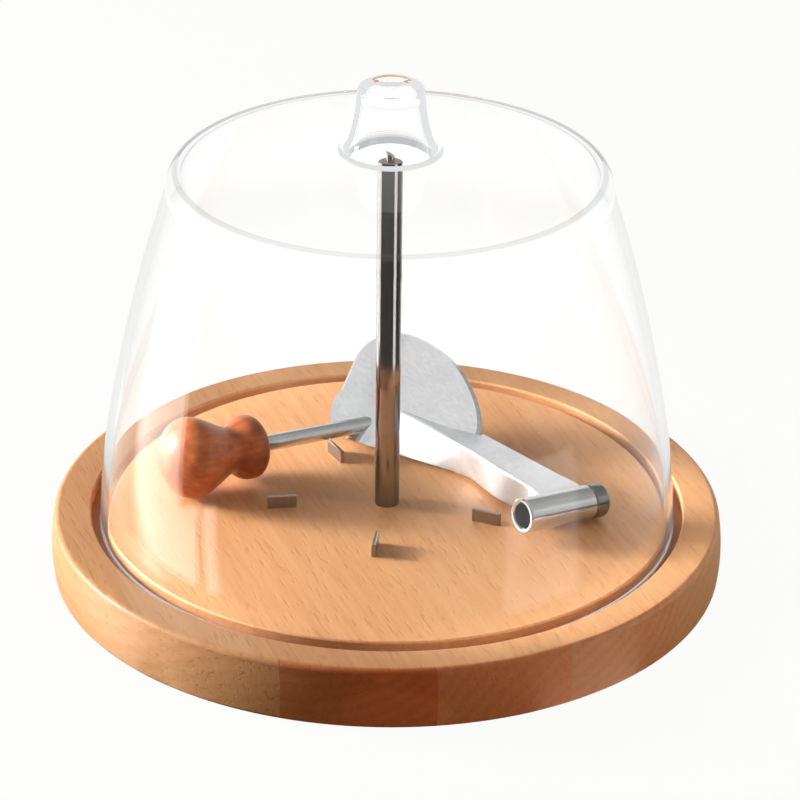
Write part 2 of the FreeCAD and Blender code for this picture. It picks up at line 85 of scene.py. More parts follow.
class Wire:
    """An output socket that takes part in arithmetic: each operation adds one Math node."""

    def __init__(self, sheet: "Sheet", socket: bpy.types.NodeSocket) -> None:
        """Wrap one output socket of a sheet."""
        self.sheet = sheet
        self.socket = socket

    def outputs(self, *keys: Key) -> Wires:
        """Outputs of the same node, by name or number."""
        found = self.socket.node.outputs
        return tuple(Wire(self.sheet, found[key]) for key in keys)

    def _maths(self, operation: str, *values: Value) -> "Wire":
        """Wire of one Math node on the given values."""
        return self.sheet.add("ShaderNodeMath", {"operation": operation},
                              dict(enumerate(values)))

    def __add__(self, other: Value) -> "Wire":
        """Sum."""
        return self._maths("ADD", self, other)

    def __radd__(self, other: Value) -> "Wire":
        """Sum with the number on the left."""
        return self._maths("ADD", other, self)

    def __sub__(self, other: Value) -> "Wire":
        """Difference."""
        return self._maths("SUBTRACT", self, other)

    def __rsub__(self, other: Value) -> "Wire":
        """Difference with the number on the left."""
        return self._maths("SUBTRACT", other, self)

    def __mul__(self, other: Value) -> "Wire":
        """Product."""
        return self._maths("MULTIPLY", self, other)

    def __truediv__(self, other: Value) -> "Wire":
        """Quotient."""
        return self._maths("DIVIDE", self, other)

    def root(self) -> "Wire":
        """Square root."""
        return self._maths("SQRT", self)

    def sine(self) -> "Wire":
        """Sine of an angle in radians."""
        return self._maths("SINE", self)

    def least(self, other: Value) -> "Wire":
        """Smaller of two values."""
        return self._maths("MINIMUM", self, other)

    def most(self, other: Value) -> "Wire":
        """Larger of two values."""
        return self._maths("MAXIMUM", self, other)

    def clipped(self) -> "Wire":
        """The value kept between 0 and 1."""
        return self.most(0.0).least(1.0)

    def ramp(self, low: float, high: float, start: float = 0.0, end: float = 1.0) -> "Wire":
        """Smooth step from start to end while the value goes from low to high."""
        return self.sheet.add("ShaderNodeMapRange", {"interpolation_type": "SMOOTHSTEP"},
                              {0: self, 1: low, 2: high, 3: start, 4: end})


class Sheet:
    """Node sheet of one material or of the world."""

    def __init__(self, tree: bpy.types.NodeTree) -> None:
        """Empty the tree and keep it."""
        self.tree = tree
        tree.nodes.clear()

    def _feed(self, node: bpy.types.Node, inputs: dict[Key, Value]) -> None:
        """Set the inputs of a node, or link them to their wires."""
        for key, value in inputs.items():
            if isinstance(value, Wire):
                self.tree.links.new(value.socket, node.inputs[key])
            else:
                node.inputs[key].default_value = value

    def add(self, kind: str, settings: Optional[dict[str, str]] = None,
            inputs: Optional[dict[Key, Value]] = None, output: Key = 0) -> Wire:
        """Add one node.

        Args:
            kind: Blender's node type.
            settings: attributes of the node, set first.
            inputs: value or wire of each socket, by name or number.
            output: name or number of the socket that is returned.

        Returns:
            The chosen output as a wire.
        """
        node = self.tree.nodes.new(kind)
        for name, value in (settings or {}).items():
            setattr(node, name, value)
        self._feed(node, inputs or {})
        return Wire(self, node.outputs[output])

    def end(self, shader: Wire, kind: str = "ShaderNodeOutputMaterial") -> None:
        """Link a shader to an output node of that kind."""
        self._feed(self.tree.nodes.new(kind), {"Surface": shader})

    def spot(self) -> Wire:
        """Object coordinates, in metres."""
        return self.add("ShaderNodeTexCoord", output="Object")

    def place(self, turn: Triple, shift: Triple = (0, 0, 0)) -> Wire:
        """Object coordinates, turned and then moved."""
        return self.add("ShaderNodeMapping", {"vector_type": "POINT"},
                        {"Vector": self.spot(), "Location": shift, "Rotation": turn})

    def axes(self, vector: Wire) -> Wires:
        """The three components of a vector."""
        return self.add("ShaderNodeSeparateXYZ", inputs={0: vector}).outputs(0, 1, 2)

    def colour(self, value: Wire, stops: list[tuple[float, Triple]]) -> Wire:
        """Colour of a ramp at a value."""
        tint = self.add("ShaderNodeValToRGB", inputs={"Fac": value})
        elements = tint.socket.node.color_ramp.elements
        while len(elements) < len(stops):
            elements.new(0.5)
        for element, (place, shade) in zip(elements, stops):
            element.position = place
            element.color = rgba(shade)
        return tint

    def blended(self, share: Value, first: Value, second: Value, way: str = "MIX") -> Wire:
        """Mix of two colours."""
        return self.add("ShaderNodeMix", {"data_type": "RGBA", "blend_type": way},
                        {0: share, 6: first, 7: second}, output=2)

    def bump(self, height: Wire, depth: float, strength: float) -> Wire:
        """Normal of a surface with that height pattern, depth in metres."""
        return self.add("ShaderNodeBump", None,
                        {"Height": height, "Distance": depth, "Strength": strength})

    def surface(self, inputs: dict[Key, Value]) -> Wire:
        """Principled shader with those inputs."""
        return self.add("ShaderNodeBsdfPrincipled", inputs=inputs, output="BSDF")

    def mixed(self, share: Wire, first: Wire, second: Wire) -> Wire:
        """Mix of two shaders."""
        return self.add("ShaderNodeMixShader", inputs={0: share, 1: first, 2: second})


@dataclass(frozen=True)
class Layer:
    """Noise with scale cells per metre, drawn out along the axes where stretch is small."""

    scale: float
    stretch: Triple = (1.0, 1.0, 1.0)
    detail: float = 3.0
    rough: float = 0.6
    bend: float = 0.0

    def on(self, sheet: Sheet, spot: Wire, shift: Triple = (0, 0, 0)) -> Wire:
        """Noise between 0 and 1 at those coordinates, stretched and then moved."""
        vector = sheet.add("ShaderNodeVectorMath", {"operation": "MULTIPLY_ADD"},
                           {0: spot, 1: self.stretch, 2: shift})
        return sheet.add("ShaderNodeTexNoise", {"noise_dimensions": "3D"},
                         {"Vector": vector, "Scale": self.scale, "Detail": self.detail,
                          "Roughness": self.rough, "Distortion": self.bend})


def rgba(colour: Triple) -> Colour:
    """Colour with full alpha."""
    return (*colour, 1.0)


def new_sheet(name: str) -> tuple[bpy.types.Material, Sheet]:
    """A material and its empty node sheet."""
    material = bpy.data.materials.new(name)
    material.use_nodes = True
    return material, Sheet(material.node_tree)


# ---- finishes


@dataclass(frozen=True)
class BeechFinish:
    """Oiled beech: year rings round a pith beside the piece, fibre streaks and dark flecks.

    In the grain frame X is across the staves, Y along them and Z up. Lengths are in metres.

    Attributes:
        pith: across and height of the centre of the year rings.
        turn_deg: turn from the board's frame to the grain frame.
        year_wave: how far noise moves the rings across and up, and turns their phase.
        side: radii between which the board's top rolls over into its side.
        end_span: squared sine, from across, where the side turns into end grain; its tint is the
            end grain's own darker colour plus painted shade.
        end_turn: lengthwise span where that tint drops to end_rear, so the painted shade is
            strongest on the front end.
    """

    name: str
    pith: Pair
    seed: float
    tone: float
    # End tint: the end grain's own darker colour plus painted shade for the board's front side.
    end_and_shade_tint: Triple
    turn_deg: float = -20.0
    pale: Triple = (0.80, 0.445, 0.215)
    middle: Triple = (0.71, 0.345, 0.145)
    deep: Triple = (0.56, 0.240, 0.088)
    waves: Layer = Layer(26.0, (1.0, 0.10, 1.0), 2.0, 0.5)
    streaks: Layer = Layer(700.0, (1.0, 0.05, 1.0))
    bands: Layer = Layer(60.0, (1.0, 0.06, 1.0), 3.0, 0.5)
    cloud: Layer = Layer(9.0, (1.0, 0.10, 1.0), 2.0, 0.5)
    flecks: Layer = Layer(900.0, (1.0, 0.16, 1.0), 1.0, 0.4)
    year_width: float = 0.0042
    year_wave: Triple = (0.022, 0.010, 4.0)
    year_share: float = 0.05
    streak_share: float = 0.44
    band_share: float = 0.22
    cloud_share: float = 0.18
    flat_tone: float = 0.09
    fleck_span: Pair = (0.60, 0.72)
    fleck_colour: Triple = (0.36, 0.145, 0.05)
    fleck_share: float = 0.20
    side: Pair = (0.1066, 0.1084)
    end_span: Pair = (0.25, 0.95)
    end_turn: Pair = (-0.02, 0.02)
    end_rear: float = 0.3
    # Groove spans, tint and share: painted shade that darkens the groove.
    groove_in: Pair = (0.0912, 0.0916)
    groove_out: Pair = (0.0968, 0.0973)
    groove_floor: Pair = (0.0192, 0.0200)
    groove_shade_tint: Triple = (0.62, 0.46, 0.40)
    groove_shade_share: float = 0.8

    def material(self) -> bpy.types.Material:
        """Build the material."""
        material, sheet = new_sheet(self.name)
        grain = sheet.place((0, 0, math.radians(self.turn_deg)))
        across, lengthwise, height = sheet.axes(grain)
        radius = (across * across + lengthwise * lengthwise).root()
        side = radius.ramp(*self.side)
        streaks = self.streaks.on(sheet, grain, (self.seed, 0, 0))
        bands = self.bands.on(sheet, grain, (0, self.seed, 0))
        cloud = self.cloud.on(sheet, grain, (self.seed, self.seed, self.seed))
        fleck = self.flecks.on(sheet, grain, (0, 0, self.seed)).ramp(*self.fleck_span)
        value = (self._years(sheet, grain) * (self.year_share + side * self.year_share)
                 + streaks * self.streak_share + bands * self.band_share
                 + cloud * self.cloud_share + (self.tone + self.flat_tone))
        wood = sheet.colour(value, [(0.22, self.deep), (0.50, self.middle), (0.80, self.pale)])
        wood = sheet.blended(fleck * self.fleck_share, wood, rgba(self.fleck_colour))
        # Painted shade: end grain tinted fully at the front end and much less at the rear, where
        # the light falls.
        end_grain_and_shade = (side * (lengthwise * lengthwise / (radius * radius)).ramp(*self.end_span)
                     * lengthwise.ramp(*self.end_turn, 1.0, self.end_rear))
        wood = sheet.blended(end_grain_and_shade, wood, rgba(self.end_and_shade_tint), "MULTIPLY")
        # Painted shade in the groove, standing in for the shade its walls would cast.
        groove = (radius.ramp(*self.groove_in) * radius.ramp(*self.groove_out, 1.0, 0.0)
                  * height.ramp(*self.groove_floor, 1.0, 0.0))
        wood = sheet.blended(groove * self.groove_shade_share, wood, rgba(self.groove_shade_tint), "MULTIPLY")
        sheet.end(sheet.surface({
            "Base Color": wood, "Roughness": 0.40 + streaks * 0.22,
            "Normal": sheet.bump(streaks * 0.6 - fleck, 0.00012, 0.35),
            "Specular IOR Level": 0.4, "Coat Weight": 0.10, "Coat Roughness": 0.25}))
        return material

    def _years(self, sheet: Sheet, grain: Wire) -> Wire:
        """Wavy year rings round the pith, between 0 and 1."""
        across, _, height = sheet.axes(grain)
        waves = self.waves.on(sheet, grain, (self.seed, self.seed, self.seed))
        far = across - self.pith[0] + (waves - 0.5) * self.year_wave[0]
        high = height - self.pith[1] + (waves - 0.5) * self.year_wave[1]
        ring = (far * far + high * high).root()
        phase = ring * (2 * math.pi / self.year_width) + waves * self.year_wave[2]
        return phase.sine() * 0.5 + 0.5


@dataclass(frozen=True)
class KnobWoodFinish:
    """Stained and lacquered turned wood: streaks along the knob's axis under a clear coat.

    Turn and shift, in radians and metres, bring the knob's axis to the pattern's Z.
    """

    name: str
    shift: Triple
    turn: Triple
    pale: Triple = (0.60, 0.210, 0.066)
    middle: Triple = (0.41, 0.100, 0.024)
    deep: Triple = (0.18, 0.033, 0.009)
    blotch: Layer = Layer(95.0, (1.0, 1.0, 0.35), 3.0, 0.55, 0.4)
    streaks: Layer = Layer(520.0, (1.0, 1.0, 0.08))

    def material(self) -> bpy.types.Material:
        """Build the material."""
        material, sheet = new_sheet(self.name)
        grain = sheet.place(self.turn, self.shift)
        streaks = self.streaks.on(sheet, grain)
        value = self.blotch.on(sheet, grain) * 0.75 + streaks * 0.40 - 0.09
        wood = sheet.colour(value, [(0.25, self.deep), (0.50, self.middle), (0.74, self.pale)])
        sheet.end(sheet.surface({
            "Base Color": wood, "Roughness": 0.32 + streaks * 0.15,
            "Normal": sheet.bump(streaks, 0.00010, 0.25),
            "Specular IOR Level": 0.3, "Coat Weight": 0.22, "Coat Roughness": 0.10}))
        return material


@dataclass(frozen=True)
class SteelFinish:
    """Stainless steel with fine drawing or turning lines.

    Attributes:
        spread: how much the lines change the roughness; smudges change it less.
        turn, depth: Mapping angles of the lines' frame, and their depth in metres.
    """

    name: str
    colour: Triple
    roughness: float
    spread: float = 0.10
    turn: Triple = (0, 0, 0)
    lines: Layer = Layer(1500.0, (1.0, 1.0, 0.02))
    depth: float = 0.00002
    smudge: Layer = Layer(70.0)

    def material(self) -> bpy.types.Material:
        """Build the material."""
        material, sheet = new_sheet(self.name)
        grain = sheet.place(self.turn)
        lines = self.lines.on(sheet, grain)
        smudge = self.smudge.on(sheet, grain)
        tint = sheet.colour(smudge * 0.5 + lines * 0.5, [
            (0.30, tuple(c * 0.88 for c in self.colour)),
            (0.70, tuple(min(1.0, c * 1.08) for c in self.colour))])
        rough = self.roughness + (lines - 0.5) * self.spread + (smudge - 0.5) * self.spread * 0.7
        sheet.end(sheet.surface({
            "Base Color": tint, "Metallic": 1.0, "Roughness": rough.most(0.03),
            "Normal": sheet.bump(lines, self.depth, 0.5)}))
        return material


@dataclass(frozen=True)
class AcrylicFinish:
    """Clear acrylic that bends light, lets the lamps through and has a painted grey line of shade
    at its shoulder.

    A ray that keeps mirroring inside the wall would end dark, so it meets a glow instead.

    Attributes:
        bend: index of refraction.
        rim: painted grey shade on the surface outside and above the shoulder, in metres.
        bounces: mirror bounces after which a ray counts as trapped.
        lamp_share: share of a lamp's light that passes a surface.
    """

    name: str
    bend: float = 1.30
    tint: Triple = (0.992, 0.994, 0.995)
    rim: Triple = (0.66, 0.67, 0.68)
    glow: Triple = (0.54, 0.55, 0.56)
    bounces: float = 1.0
    shoulder_radius: Pair = (0.0668, 0.0672)
    shoulder_height: Pair = (0.1381, 0.1386)
    haze: Layer = Layer(40.0, (1.0, 1.0, 1.0), 2.0, 0.5)
    lamp_share: float = 0.99

    def material(self) -> bpy.types.Material:
        """Build the material."""
        material, sheet = new_sheet(self.name)
        spot = sheet.spot()
        across, depth, height = sheet.axes(spot)
        radius = (across * across + depth * depth).root()
        # Painted shade: a grey line where the shoulder bends the light.
        shoulder = radius.ramp(*self.shoulder_radius) * height.ramp(*self.shoulder_height)
        clear = sheet.surface({
            "Base Color": sheet.blended(shoulder, rgba(self.tint), rgba(self.rim)),
            "Roughness": (self.haze.on(sheet, spot) - 0.45).most(0.0) * 0.02,
            "IOR": self.bend, "Transmission Weight": 1.0})
        glow = sheet.add("ShaderNodeEmission", inputs={"Color": rgba(self.glow)})
        open_way = sheet.add("ShaderNodeBsdfTransparent",
                             inputs={"Color": rgba((self.lamp_share,) * 3)})
        rays = sheet.add("ShaderNodeLightPath")
        mirrored, shadow = rays.outputs("Glossy Depth", "Is Shadow Ray")
        body = sheet.mixed((mirrored - self.bounces).clipped(), clear, glow)
        sheet.end(sheet.mixed(shadow, body, open_way))
        return material


# ---- surfaces


class Profile:
    """Outline of a turned piece as points of radius and height, in millimetres."""

    def __init__(self, *points: Pair) -> None:
        """Start the outline with straight runs through the points."""
        self.points: list[Pair] = list(points)

    def line(self, *points: Pair) -> "Profile":
        """Straight runs through the points."""
        self.points += points
        return self

    def bend(self, middle: Pair, end: Pair, steps: int = 8) -> "Profile":
        """Circular arc from the last point through the middle to the end.

        The centre is where the perpendicular bisectors of the two chords meet; the points
        stand at equal angles round it.
        """
        a, b, c = (np.array(p, float) for p in (self.points[-1], middle, end))
        sides = 2 * np.array([b - a, c - a])
        centre = np.linalg.solve(sides, [b @ b - a @ a, c @ c - a @ a])
        first, through, last = (math.atan2(*(p - centre)[::-1]) for p in (a, b, c))
        sweep = (last - first) % (2 * math.pi)
        if (through - first) % (2 * math.pi) > sweep:
            sweep -= 2 * math.pi
        angles = first + sweep * np.arange(1, steps + 1) / steps
        ring = centre + np.hypot(*(a - centre)) * np.stack([np.cos(angles), np.sin(angles)], 1)
        self.points += [tuple(p) for p in ring]
        return self

    def curve(self, points: list[Pair], steps: int = 6) -> "Profile":
        """Smooth curve through the points, steps pieces between neighbours."""
        self.points += [tuple(p) for p in smooth_curve(np.array(points, float), steps)[1:]]
        return self

    def array(self) -> np.ndarray:
        """Points as an array of metres."""
        return np.array(self.points, float) * MM


def smooth_curve(points: np.ndarray, steps: int) -> np.ndarray:
    """Natural cubic spline through points, with chord length as its parameter.

    Between neighbours the curve is the cubic whose second derivatives m at the points solve
    the usual three-term equations, with m = 0 at both ends.
    """
    chord = np.hypot(*np.diff(points, axis=0).T)
    knots = np.concatenate([[0.0], np.cumsum(chord)])
    count = len(points)
    system = np.eye(count)
    right = np.zeros((count, points.shape[1]))
    slope = np.diff(points, axis=0) / chord[:, None]
    inside = np.arange(1, count - 1)
    system[inside, inside] = 2 * (chord[:-1] + chord[1:])
    system[inside, inside - 1] = chord[:-1]
    system[inside, inside + 1] = chord[1:]
    right[inside] = 6 * np.diff(slope, axis=0)
    second = np.linalg.solve(system, right)
    where = np.concatenate([np.linspace(knots[k], knots[k + 1], steps, endpoint=False)
                            for k in range(count - 1)] + [knots[-1:]])
    k = np.clip(np.searchsorted(knots, where, side="right") - 1, 0, count - 2)
    h, t = chord[k][:, None], (where - knots[k])[:, None]
    return (points[k] + t * (slope[k] - h * (2 * second[k] + second[k + 1]) / 6)
            + t ** 2 * second[k] / 2 + t ** 3 * (second[k + 1] - second[k]) / (6 * h))


def turned_surface(profile: np.ndarray, turns: int) -> tuple[np.ndarray, np.ndarray]:
    """Surface of revolution of a closed outline.

    Point (i, j) is (r_i cos t_j, r_i sin t_j, z_i) with t_j = 2 pi j / turns; the faces join
    neighbours in both directions, and the outline's last point joins its first.

    Args:
        profile: radius and height of each point of the outline.
        turns: number of steps round the axis.

    Returns:
        Points and quads.
    """
    angle = 2 * math.pi * np.arange(turns) / turns
    radius, height = profile[:, :1], profile[:, 1:]
    points = np.stack([radius * np.cos(angle), radius * np.sin(angle),
                       height + 0 * angle], axis=-1).reshape(-1, 3)
    i = np.arange(len(profile))[:, None] * turns
    j = np.arange(turns)[None, :]
    after_i, after_j = np.roll(i, -1, axis=0), np.roll(j, -1, axis=1)
    quads = np.stack([i + j, i + after_j, after_i + after_j, after_i + j], axis=-1)
    return points, quads.reshape(-1, 4)


def merged(mesh: bpy.types.Mesh, within: float, recalculate: bool) -> bpy.types.Mesh:
    """Merge the close points of a mesh.

    Args:
        mesh: the mesh, changed in place.
        within: points closer than this become one, in metres.
        recalculate: whether the faces are turned outwards.

    Returns:
        The same mesh.
    """
    work = bmesh.new()
    work.from_mesh(mesh)
    bmesh.ops.remove_doubles(work, verts=work.verts, dist=within)
    bmesh.ops.dissolve_degenerate(work, edges=work.edges, dist=SLIVER)
    if recalculate:
        bmesh.ops.recalc_face_normals(work, faces=work.faces)
    work.to_mesh(mesh)
    work.free()
    mesh.validate()
    return mesh


def finished(name: str, mesh: bpy.types.Mesh, body: Body, slot: Slot, nodes: tuple[str, ...],
             material: bpy.types.Material, sharp_deg: float = 30.0) -> bpy.types.Object:
    """Smooth a mesh, dress it and put it on its body in place of CAD nodes.

    Args:
        name: name of the piece.
        mesh: its mesh, in the row frame.
        body: body that it rides on.
        slot: material slot of the record; not used.
        nodes: CAD nodes that it stands for.
        material: its finish.
        sharp_deg: edges that turn by more than this stay sharp.

    Returns:
        The new object.
    """
    mesh.polygons.foreach_set("use_smooth", np.ones(len(mesh.polygons), bool))
    mesh.set_sharp_from_angle(angle=math.radians(sharp_deg))
    mesh.materials.clear()
    mesh.materials.append(material)
    piece = bpy.data.objects.new(name, mesh)
    bpy.context.scene.collection.objects.link(piece)
    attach(piece, body.value)
    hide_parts(*nodes)
    LOG.info("%s: %d points on %s", name, len(mesh.vertices), body.value)
    return piece


def turned_piece(name: str, outline: Profile, place: np.ndarray, turns: int,
                 **dress) -> bpy.types.Object:
    """A turned piece whose axis is the Z axis of the frame place."""
    points, quads = turned_surface(outline.array(), turns)
    points = points @ place[:3, :3].T + place[:3, 3]
    mesh = bpy.data.meshes.new(name)
    mesh.from_pydata(points.tolist(), [], quads.tolist())
    return finished(name, merged(mesh, DOUBLE, True), **dress)


def skin_of(node: str, name: str, **dress) -> bpy.types.Object:
    """A piece on a merged copy of a CAD node's own surface."""
    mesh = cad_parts[node].data.copy()
    if "custom_normal" in mesh.attributes:
        mesh.attributes.remove(mesh.attributes["custom_normal"])
    return finished(name, merged(mesh, SKIN_DOUBLE, False), nodes=(node,), **dress)


# ---- board


@dataclass
class Board:
    """Round board of staves with the spindle and the spikes. Lengths are in millimetres.

    Each cut is a stave's pith beside its centre line, in metres, its tone and the tint of its
    end grain, which also paints shade on the board's front side. The spindle has a hole for the
    tip's stem above and one for the screw below.
    """

    stave_width: float = 44.0
    # Third entry of each cut: end tint that also paints shade, darkest on the second stave, where
    # the front side lies in shade.
    cuts: tuple[tuple[Pair, float, Triple], ...] = (
        ((0.030, -0.035), 0.01, (1.00, 0.82, 0.66)), ((-0.022, 0.060), -0.03, (0.95, 0.46, 0.20)),
        ((0.041, -0.028), 0.03, (1.00, 0.66, 0.48)), ((-0.035, 0.055), 0.0, (1.00, 0.80, 0.70)),
        ((0.018, -0.045), 0.02, (1.00, 0.82, 0.72)))
    seed_step: float = 3.7
    spindle_side: tuple[Pair, ...] = (
        (2.5, 8.0), (3.6, 8.0), (3.6, 20.4), (4.0, 20.4), (4.0, 141.0), (3.6, 141.4),
        (1.35, 141.4), (1.35, 135.4), (0, 135.4), (0, 18.0), (2.0, 18.0), (2.5, 17.5))
    steel: SteelFinish = SteelFinish("drawn_steel", (0.30, 0.275, 0.26), 0.09)
    plate: SteelFinish = SteelFinish("stamped_plate", (0.38, 0.32, 0.27), 0.34, 0.12,
                                     lines=Layer(900.0, (1.0, 1.0, 0.02)))

    def staves(self) -> None:
        """Dress each stave in its own cut of beech."""
        for number, (pith, tone, end) in enumerate(self.cuts, 1):
            across = (number - 0.5 - len(self.cuts) / 2) * self.stave_width * MM
            finish = BeechFinish("beech_%d" % number, (across + pith[0], pith[1]),
                                 self.seed_step * number, tone, end)
            skin_of("base_stave_%d" % number, "stave_%d" % number, body=Body.BASE,
                    slot=Slot.BEECH, material=finish.material(), sharp_deg=35.0)

    def spindle(self) -> None:
        """Upright rod with its bevelled end."""
        turned_piece("spindle_rod", Profile(*self.spindle_side), UPRIGHT, 96, body=Body.BASE,
                     slot=Slot.STEEL, nodes=("spindle",), material=self.steel.material())

    def hardware(self) -> None:
        """Tip, washer, screw and spikes keep their CAD surface."""
        metal = self.plate.material()
        names = [("spindle_" + k, "spindle_%s_skin" % k) for k in ("tip", "washer", "screw")]
        names += [("spike_%d" % k, "spike_plate_%d" % k) for k in range(1, 6)]
        for node, name in names:
            skin_of(node, name, body=Body.BASE, slot=Slot.STEEL, material=metal)

    def build(self) -> None:
        """Make every piece of the board."""
        self.staves()
        self.spindle()
        self.hardware()


# ---- cover


@dataclass
class Cover:
    """Clear bell-shaped cover with its hollow grip. Lengths are in millimetres.

    Sides and bends are points of radius and height, from the rim up.

    Attributes:
        rim_round, hole_gap: bulge of the rim, and the hole's play round the grip.
        disc, bulge: radius and rounding of the disc on top.
        cavity, cavity_drop: radii of the cavity's ceiling and edge, and the drop between.
        dimple: radii and depths of its edge, middle and floor.
    """

    side: tuple[Pair, ...] = ((94.2, 17.0), (92.4, 40.0), (88.3, 65.0), (82.9, 90.0),
                              (76.2, 115.0), (70.4, 133.2))
    shoulder: Pair = (69.6, 137.4)
    top: Pair = (67.2, 139.2)
    crown: float = 144.7
    crown_middle: Pair = (42.0, 142.7)
    wall: float = 2.4
    inner_top: Pair = (64.6, 137.2)
    inner_shoulder: Pair = (66.8, 135.8)
    rim_round: float = 0.25
    hole: float = 13.0
    hole_gap: float = 0.02
    grip_side: tuple[Pair, ...] = ((14.9, 145.9), (13.9, 147.8), (12.5, 152.0), (11.4, 157.4),
                                   (10.8, 162.6))
    grip_foot: tuple[Pair, ...] = ((16.3, 144.7), (16.6, 145.0), (16.6, 145.5), (16.1, 145.9))
    grip_neck: Pair = (10.75, 163.9)
    disc: float = 10.6
    bulge: float = 1.8
    grip_top: float = 167.0
    grip_wall: float = 2.1
    roof: float = 2.4
    cavity: Pair = (6.4, 7.4)
    cavity_drop: float = 0.5
    dimple: tuple[Pair, ...] = ((4.2, 0.0), (2.6, 0.48), (1.0, 0.7))
    finish: AcrylicFinish = AcrylicFinish("clear_acrylic")
    grip_finish: AcrylicFinish = AcrylicFinish("clear_grip", bend=1.24, bounces=0.0,
                                               glow=(0.76, 0.77, 0.78))

    def shell(self) -> None:
        """Cover with its shoulder, crowned top and round hole."""
        inner = [(radius - self.wall, height) for radius, height in self.side]
        rim_radius, rim = self.side[0]
        hole = self.hole + self.hole_gap
        middle, height = self.crown_middle
        outline = Profile(self.side[0]).curve(list(self.side), 10)
        outline.bend(self.shoulder, self.top, 12)
        outline.bend((middle, height), (hole, self.crown), 20)
        outline.line((hole, self.crown - self.wall))
        outline.bend((middle, height - self.wall), self.inner_top, 20)
        outline.bend(self.inner_shoulder, inner[-1], 12)
        outline.curve(inner[::-1], 10)
        outline.bend((rim_radius - self.wall / 2, rim - self.rim_round),
                     (rim_radius - HAIR, rim), 6)
        turned_piece("cover_shell", outline, UPRIGHT, 256, body=Body.DOME, slot=Slot.CLEAR,
                     nodes=("dome_shell",), material=self.finish.material(), sharp_deg=50.0)

    def grip(self) -> None:
        """Flared hollow grip with a round disc on top."""
        high, bulge, diagonal = self.grip_top, self.bulge, self.bulge * math.sqrt(0.5)
        inner = [(radius - self.grip_wall, height) for radius, height in self.grip_side]
        ceiling, inside = high - self.roof, self.crown - self.wall
        edge, middle, floor = ((radius, high - depth) for radius, depth in self.dimple)
        outline = Profile((self.hole, self.crown), *self.grip_foot, self.grip_side[0])
        outline.curve(list(self.grip_side), 8)
        outline.bend(self.grip_neck, (self.disc, high - bulge), 6)
        outline.bend((self.disc - bulge + diagonal, high - bulge + diagonal),
                     (self.disc - bulge, high), 10)
        outline.line(edge).bend(middle, floor, 6)
        outline.line((0, floor[1]), (0, ceiling), (self.cavity[0], ceiling))
        outline.bend((self.cavity[1], ceiling - self.cavity_drop), inner[-1], 6)
        outline.curve(inner[::-1], 8)
        outline.line((inner[0][0], inside), (self.hole, inside))
        turned_piece("cover_grip", outline, UPRIGHT, 128, body=Body.DOME, slot=Slot.CLEAR,
                     nodes=("dome_knob",), material=self.grip_finish.material(),
                     sharp_deg=50.0)

    def build(self) -> None:
        """Make the cover's two pieces."""
        self.shell()
        self.grip()


# ---- scraper


